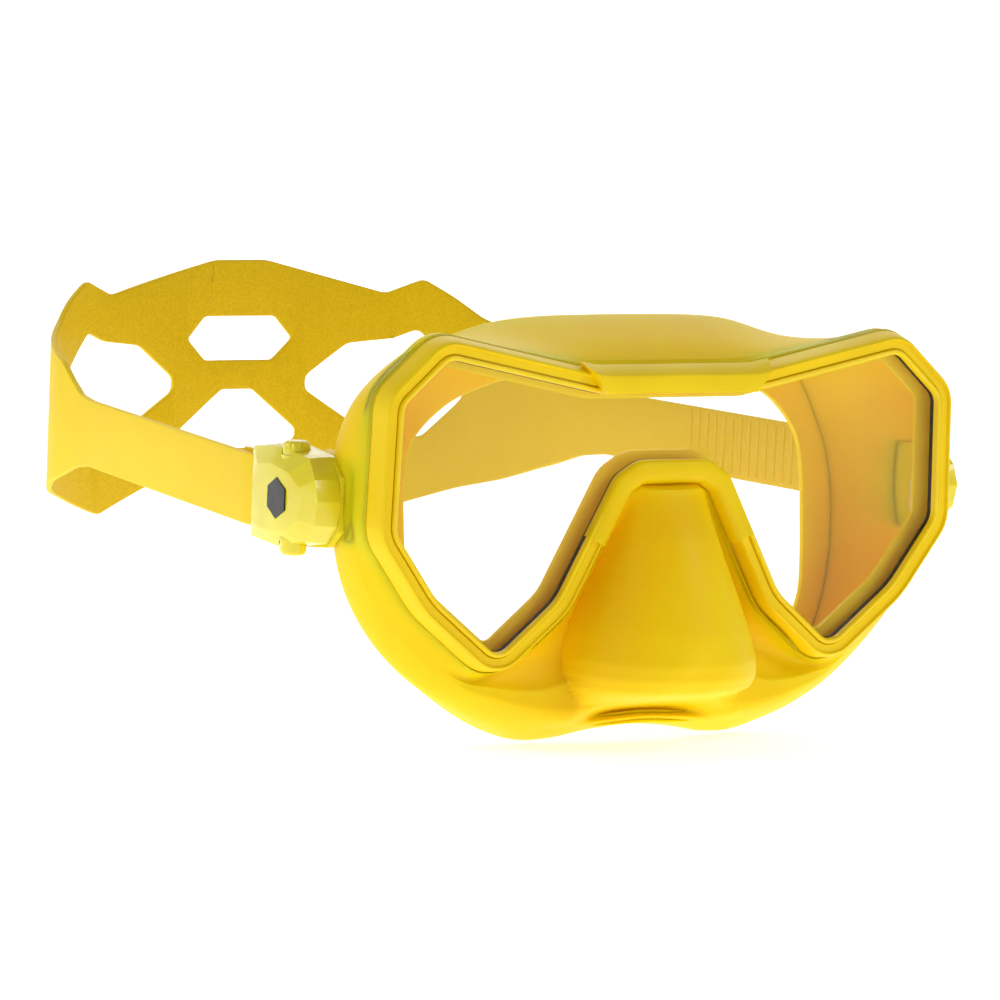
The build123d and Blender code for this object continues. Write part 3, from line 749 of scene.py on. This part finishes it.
coil_tree, sizes_in = node_tree("coil_spring", dict.fromkeys(("Radius", "Height", "Turns", "Wire"), "Float"))
size_of = {socket.name: Value(coil_tree, socket) for socket in sizes_in.outputs}
line = size_of["Radius"].node("GeometryNodeCurveSpiral", Resolution=24, Rotations=size_of["Turns"],
                              Start_Radius=size_of["Radius"], End_Radius=size_of["Radius"], Height=size_of["Height"])
section = line.node("GeometryNodeCurvePrimitiveCircle", Resolution=8, Radius=size_of["Wire"])
coil = line.node("GeometryNodeCurveToMesh", Curve=line, Profile_Curve=section, Fill_Caps=True)
end_tree(coil_tree, coil, stainless)
SPRING_LOW, SPRING_HIGH, SPRING_R, WIRE_R = 4.65, 8.61, 1.6, 0.28
coil_mesh = grown(coil_tree, "spring_coil", Radius=SPRING_R / 1000, Turns=4.0, Wire=WIRE_R / 1000,
                  Height=(SPRING_HIGH - SPRING_LOW - 2 * WIRE_R) / 1000)
coil_points, coil_faces = from_mesh(coil_mesh)
for side, way in SIDES.items():
    for place_name, up_way in (("upper", 1), ("lower", -1)):
        foot = Vector((way * BUTTON_X, BUTTON_Y, STRAP_Z + up_way * SPRING_LOW))
        points = [(foot.x + x, foot.y + y, foot.z + up_way * (z + WIRE_R)) for x, y, z in coil_points]
        spring = make_piece(f"{side}_{place_name}_coil", points, coil_faces, stainless, side + "_buckle",
                            "stainless", 60)
        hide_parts(f"{side}_{place_name}_spring")
        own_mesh(spring)

# Strap: one flat moulding in matt yellow silicone, 1.5 mm thick with rounded edges. A wide rear pad
# with cut-outs narrows at each side to a limb, which turns round the buckle's roller and ends in a tail.
STRAP_THICK, STRAP_EDGE = 1.5, 0.38
# the limb lies outside the roller and the tail inside it
LIMB_X, TAIL_X, ROLLER_Y, TAIL_START, FOLD_CLEAR = 84.15, 79.05, 36.0, 5.1, 0.05
FOLD_R = (LIMB_X - TAIL_X) / 2
REAR_Y, PAD_R, PAD_HALF, CORNER_R, LIMB_END_Y = 214.8, 131.0, 39.0, 44.0, 45.0
PAD_TURN = math.asin(PAD_HALF / PAD_R)
pad_centre = np.array((0, REAR_Y - PAD_R))
corner_centre = pad_centre + (PAD_R - CORNER_R) * np.array((math.sin(PAD_TURN), math.cos(PAD_TURN)))
reach = np.array((LIMB_X, LIMB_END_Y)) - corner_centre
LIMB_TURN = math.atan2(-reach[1], reach[0]) + math.asin(CORNER_R / np.hypot(*reach))
PAD_LENGTH, CORNER_LENGTH = PAD_R * PAD_TURN, CORNER_R * (LIMB_TURN - PAD_TURN)
limb_from = corner_centre + CORNER_R * np.array((math.sin(LIMB_TURN), math.cos(LIMB_TURN)))
LIMB_LENGTH = float(np.hypot(*(np.array((LIMB_X, LIMB_END_Y)) - limb_from)))
STRAP_HALF_LENGTH = PAD_LENGTH + CORNER_LENGTH + LIMB_LENGTH + LIMB_END_Y - ROLLER_Y - FOLD_CLEAR


def strap_place(distance):
    """The place and the outward direction on the strap's middle line, at a distance from its middle."""
    way, s = (1 if distance >= 0 else -1), abs(distance)
    if s <= PAD_LENGTH:
        turn, centre, radius, run = s / PAD_R, pad_centre, PAD_R, 0
    else:
        turn = min(PAD_TURN + (s - PAD_LENGTH) / CORNER_R, LIMB_TURN)
        centre, radius = corner_centre, CORNER_R
        run = max(0, s - PAD_LENGTH - CORNER_LENGTH)
    out = np.array((math.sin(turn), math.cos(turn)))
    spot = centre + radius * out + min(run, LIMB_LENGTH) * np.array((math.cos(turn), -math.sin(turn)))
    if run > LIMB_LENGTH:
        spot, out = np.array((LIMB_X, LIMB_END_Y - (run - LIMB_LENGTH))), np.array((1, 0))
    return spot * (way, 1), out * (way, 1)


def softened(corners, reach):
    """A closed outline with its corners rounded off, each by a reach along its sides."""
    points = []
    for i, (x, z) in enumerate(corners):
        corner = np.array((x, z), float)
        ends = []
        for other in (corners[i - 1], corners[(i + 1) % len(corners)]):
            side = np.array(other, float) - corner
            ends.append(corner + side * min(0.4, reach / np.hypot(*side)))
        for k in range(5):
            t = k / 4
            points.append((1 - t) ** 2 * ends[0] + 2 * t * (1 - t) * corner + t * t * ends[1])
    return points


def band(outline, holes, place_of, first, last, gap=2.0):
    """A flat outline with holes, cut across at even gaps, laid along a route and given its thickness."""
    work = bmesh.new()
    for loop in [outline] + holes:
        verts = [work.verts.new((s, z, 0)) for s, z in loop]
        for k in range(len(verts)):
            work.edges.new((verts[k - 1], verts[k]))
    bmesh.ops.triangle_fill(work, use_beauty=True, use_dissolve=True, edges=work.edges)
    for cut in np.arange(first + gap / 2, last, gap):
        bmesh.ops.bisect_plane(work, geom=work.verts[:] + work.edges[:] + work.faces[:], plane_co=(cut, 0, 0),
                               plane_no=(1, 0, 0), dist=1e-5)
    bmesh.ops.remove_doubles(work, verts=work.verts, dist=1e-4)
    for v in work.verts:
        spot, _ = place_of(v.co.x)
        v.co = Vector((spot[0], spot[1], v.co.y))
    mesh = bpy.data.meshes.new("band")
    work.to_mesh(mesh)
    work.free()
    points, faces = [tuple(v.co) for v in mesh.vertices], [tuple(p.vertices) for p in mesh.polygons]
    return from_mesh(modified(points, faces, "band",
                              ("SOLIDIFY", {"thickness": STRAP_THICK / 1000, "offset": 0}),
                              ("BEVEL", {"width": STRAP_EDGE / 1000, "segments": 3, "limit_method": "ANGLE",
                                         "angle_limit": math.radians(60), "use_clamp_overlap": False})))


# the strap's edges and cut-outs on its right half: distance from the middle, and height
LIMB_TOP, LIMB_LOW = -0.5, -16.5
TOP_EDGE = [(7.3, 27.2), (39.8, 19), (49.5, 23), (57.5, 18.7), (65.3, 13.8), (72, 11.6), (82, 9.2), (91, 7), (99, 3),
            (106, 0.1), (114, LIMB_TOP), (STRAP_HALF_LENGTH, LIMB_TOP)]
LOW_EDGE = [(9, -25.5), (26.6, -30), (42.4, -36.3), (60, -30.5), (72, -27.5), (84, -23.5), (93, -20.9),
            (102, -18), (112, LIMB_LOW), (STRAP_HALF_LENGTH, LIMB_LOW)]
UPPER_HOLE = [(10, 12.9), (15, 7.2), (9.6, 1.6)]
LOWER_HOLE = [(4.4, -5.8), (16.8, -16), (16.8, -18.5), (12, -21)]
SIDE_WINDOW = [(19, -2.5), (30, 6), (42, 7.4), (48.5, 10), (60, -0.5), (62, -4), (60, -8), (50, -18), (31, -13.8),
               (19, -6)]
CORNER_REACH, SMALL_HOLE_REACH = 1.6, 1.0


def both_ways(half):
    """Points on the left half, then the same on the right half in reverse."""
    return half + [(-s, z) for s, z in reversed(half)]


outline = softened(both_ways(TOP_EDGE + LOW_EDGE[::-1]), CORNER_REACH)
holes = [softened(both_ways(hole), SMALL_HOLE_REACH) for hole in (UPPER_HOLE, LOWER_HOLE)]
holes += [softened([(way * s, z) for s, z in SIDE_WINDOW], CORNER_REACH) for way in SIDES.values()]
strap_points, strap_faces = band(outline, holes, strap_place, -STRAP_HALF_LENGTH, STRAP_HALF_LENGTH)
strap_silicone, place, shader = finish("strap_silicone", SUN, 0.5, Specular_IOR_Level=0.2)
tone = noise(place, 0.03).clamp(0.3, 0.7)
grain = noise(place, 0.0006)
# painted shade: the marked faces that look towards the head get a deeper yellow for the shade on the strap's inner
# side, mottled by the grain
inner = place.node("ShaderNodeAttribute", {"attribute_name": "inner_face"}, output=2)
outer_tone = tone.mix((0.98, 0.70, 0.0, 1), (0.93, 0.65, 0.0, 1))
painted_shade_tone = grain.clamp(0.3, 0.7).mix((0.80, 0.54, 0.0, 1), (0.70, 0.46, 0.0, 1))
drive(shader, Base_Color=inner.mix(outer_tone, painted_shade_tone), Roughness=grain * 0.12 + 0.44,
      Normal=bump(grain, 0.1, 0.00003))

# grip ribs across the inner face of each limb, which the pawl bites into
rib_tree, sizes_in = node_tree("grip_ribs", {"Count": "Int", "Start": "Vector", "Step": "Vector", "Rib Size": "Vector",
                                             "Turn": "Float"})
size_of = {socket.name: Value(rib_tree, socket) for socket in sizes_in.outputs}
line = size_of["Count"].node("GeometryNodeMeshLine", Count=size_of["Count"], Start_Location=size_of["Start"],
                             Offset=size_of["Step"])
block = line.node("GeometryNodeMeshCube", Size=size_of["Rib Size"])
turn = line.node("ShaderNodeCombineXYZ", Z=size_of["Turn"])
ribs = line.node("GeometryNodeInstanceOnPoints", Points=line, Instance=block, Rotation=turn)
end_tree(rib_tree, ribs, strap_silicone)
RIB_GAP, RIB_COUNT, RIB_WIDE, RIB_TALL, RIB_PROUD, RIB_INSET = 3.3, 22, 0.9, 13.6, 0.22, 2
limb_way = np.array((math.cos(LIMB_TURN), -math.sin(LIMB_TURN)))
limb_out = np.array((math.sin(LIMB_TURN), math.cos(LIMB_TURN)))
ribs_at = limb_from + limb_way * (LIMB_LENGTH - RIB_INSET) - limb_out * STRAP_THICK / 2
parts = [(strap_points, strap_faces)]
for way in SIDES.values():
    step = -limb_way * RIB_GAP
    ribs_mesh = grown(rib_tree, "grip_ribs", Count=RIB_COUNT,
                      Start=(way * ribs_at[0] / 1000, ribs_at[1] / 1000, STRAP_Z / 1000),
                      Step=(way * step[0] / 1000, step[1] / 1000, 0),
                      Rib_Size=(RIB_PROUD * 2 / 1000, RIB_WIDE / 1000, RIB_TALL / 1000),
                      Turn=way * (math.pi / 2 - LIMB_TURN))
    parts.append(from_mesh(ribs_mesh))
strap = make_piece("head_strap", *joined(*parts), strap_silicone, "strap", "strap_silicone", 45)
# the faces that look towards the head are marked, and the material paints them a shade deeper: painted shade on the
# strap's inner side
mark = strap.data.attributes.new("inner_face", "FLOAT", "FACE")
for face, value in zip(strap.data.polygons, mark.data):
    aim = Vector((0, REAR_Y / 2000)) - face.center.xy
    value.value = max(0, min(1, 2 * face.normal.xy.dot(aim.normalized())))
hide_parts("strap")


def fold_place(distance):
    """The place on the fold's middle line, from the limb round the roller's front to the tail."""
    turn = distance / FOLD_R
    return np.array((BUTTON_X + FOLD_R * math.cos(turn), ROLLER_Y - FOLD_R * math.sin(turn))), None


def tail_place(distance):
    """The place on the tail's middle line, from behind the roller to its free end."""
    return np.array((TAIL_X, ROLLER_Y + TAIL_START + distance)), None


TAIL_LENGTH, TAIL_ROUND, ROUND_STEPS = 20.0, 5.0, 8
fold_length = math.pi * FOLD_R
fold = band([(0, LIMB_LOW), (fold_length, LIMB_LOW), (fold_length, LIMB_TOP), (0, LIMB_TOP)], [], fold_place,
            0, fold_length, 0.5)
tail_outline = [(0, LIMB_LOW), (TAIL_LENGTH - TAIL_ROUND, LIMB_LOW)]
for k in range(ROUND_STEPS + 1):
    angle = math.pi / 2 * k / ROUND_STEPS
    tail_outline.append((TAIL_LENGTH - TAIL_ROUND * (1 - math.sin(angle)),
                         LIMB_LOW + TAIL_ROUND * (1 - math.cos(angle))))
tail_outline += [(s, LIMB_TOP + LIMB_LOW - z) for s, z in reversed(tail_outline)]
tail_band = band(tail_outline, [], tail_place, 0, TAIL_LENGTH)
for side, way in SIDES.items():
    for name, (points, faces), body in (("fold", fold, "buckle"), ("tail", tail_band, "tail")):
        points = [(way * x, y, z) for x, y, z in points]
        piece = make_piece(f"{side}_{name}_band", points, faces, strap_silicone, f"{side}_{body}",
                           "strap_silicone", 45)
        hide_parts(f"{side}_strap_{name}")

# Studio: a white sheet that lies under the mask and curves up behind it, as on a lightbox, with
# three large soft lamps and an even white light from all round.
bpy.context.scene.view_settings.view_transform = "Standard"
world = bpy.data.worlds.new("studio_white")
bpy.context.scene.world = world
world.use_nodes = True
world.node_tree.nodes["Background"].inputs["Strength"].default_value = 0.27
world.node_tree.nodes["Background"].inputs["Color"].default_value = (1, 1, 1, 1)
mask_low, mask_high = (Vector(corner) for corner in cad_box)
middle = (mask_low + mask_high) / 2


def lamp(name, place, size, power):
    """A square soft lamp at a place, turned to the middle of the mask."""
    light = bpy.data.lights.new(name, "AREA")
    light.size = size
    light.energy = power
    lamp_object = bpy.data.objects.new(name, light)
    lamp_object.location = place
    lamp_object.rotation_euler = (middle - Vector(place)).to_track_quat("-Z", "Y").to_euler()
    bpy.context.scene.collection.objects.link(lamp_object)


lamp("key_lamp", (0.9, -1.3, 1.15), 0.6, 8.5)
lamp("side_lamp", (-1.5, 0.35, 0.6), 0.8, 6.5)
lamp("back_lamp", (0.5, 1.4, 1.2), 1.2, 4)

FLOOR_TURN = -30
FLOOR_GAP, FLOOR_FRONT, SWEEP_START, SWEEP_RADIUS, SWEEP_HALF, SWEEP_TOP = 0.0045, -3.0, 1.5, 1.2, 4.0, 4.0
floor_z = mask_low.z - FLOOR_GAP
line = [(FLOOR_FRONT, 0.0), (SWEEP_START, 0.0)]
line += [(SWEEP_START + SWEEP_RADIUS * math.sin(a), SWEEP_RADIUS * (1 - math.cos(a)))
         for a in np.linspace(0, math.pi / 2, 24)[1:]]
line += [(SWEEP_START + SWEEP_RADIUS, SWEEP_TOP)]
floor_points = [(x, y, z + floor_z) for y, z in line for x in (-SWEEP_HALF, SWEEP_HALF)]
floor_mesh = bpy.data.meshes.new("floor")
floor_mesh.from_pydata(floor_points, [], grid_faces(len(line), 2, False, False))
floor_mesh.shade_smooth()
floor = bpy.data.objects.new("floor", floor_mesh)
floor.rotation_euler = (0, 0, math.radians(FLOOR_TURN))
bpy.context.scene.collection.objects.link(floor)
paper, place, shader = finish("studio_paper", (1, 1, 1, 1), 0.9, Specular_IOR_Level=0.0,
                              Emission_Color=(1, 1, 1, 1), Emission_Strength=0.62)
drive(shader, Roughness=noise(place, 0.01) * 0.1 + 0.85)
floor_mesh.materials.append(paper)

# Camera: a long lens, a little above the mask and round to the wearer's right, rolled slightly.
CAMERA_TURN, CAMERA_RISE, CAMERA_ROLL, CAMERA_LENS = -30.0, 6.83, 2.35, 211.36
ASIDE, BELOW, AWAY = -0.03928, -0.0076, 1.31171
turn, rise, roll = (math.radians(a) for a in (CAMERA_TURN, CAMERA_RISE, CAMERA_ROLL))
right = Vector((math.cos(turn), math.sin(turn), 0))
back = Vector((math.sin(turn) * math.cos(rise), -math.cos(turn) * math.cos(rise), math.sin(rise)))
up = back.cross(right)
rolled_right = math.cos(roll) * right + math.sin(roll) * up
rolled_up = math.cos(roll) * up - math.sin(roll) * right
camera_data = bpy.data.cameras.new("camera")
camera_data.sensor_width = 36
camera_data.lens = CAMERA_LENS
camera_data.clip_end = 20
camera = bpy.data.objects.new("camera", camera_data)
place = ASIDE * rolled_right + BELOW * rolled_up + AWAY * back
turned = Matrix((rolled_right, rolled_up, back)).transposed().to_4x4()
camera.matrix_world = Matrix.Translation(place) @ turned
bpy.context.scene.collection.objects.link(camera)
bpy.context.scene.camera = camera
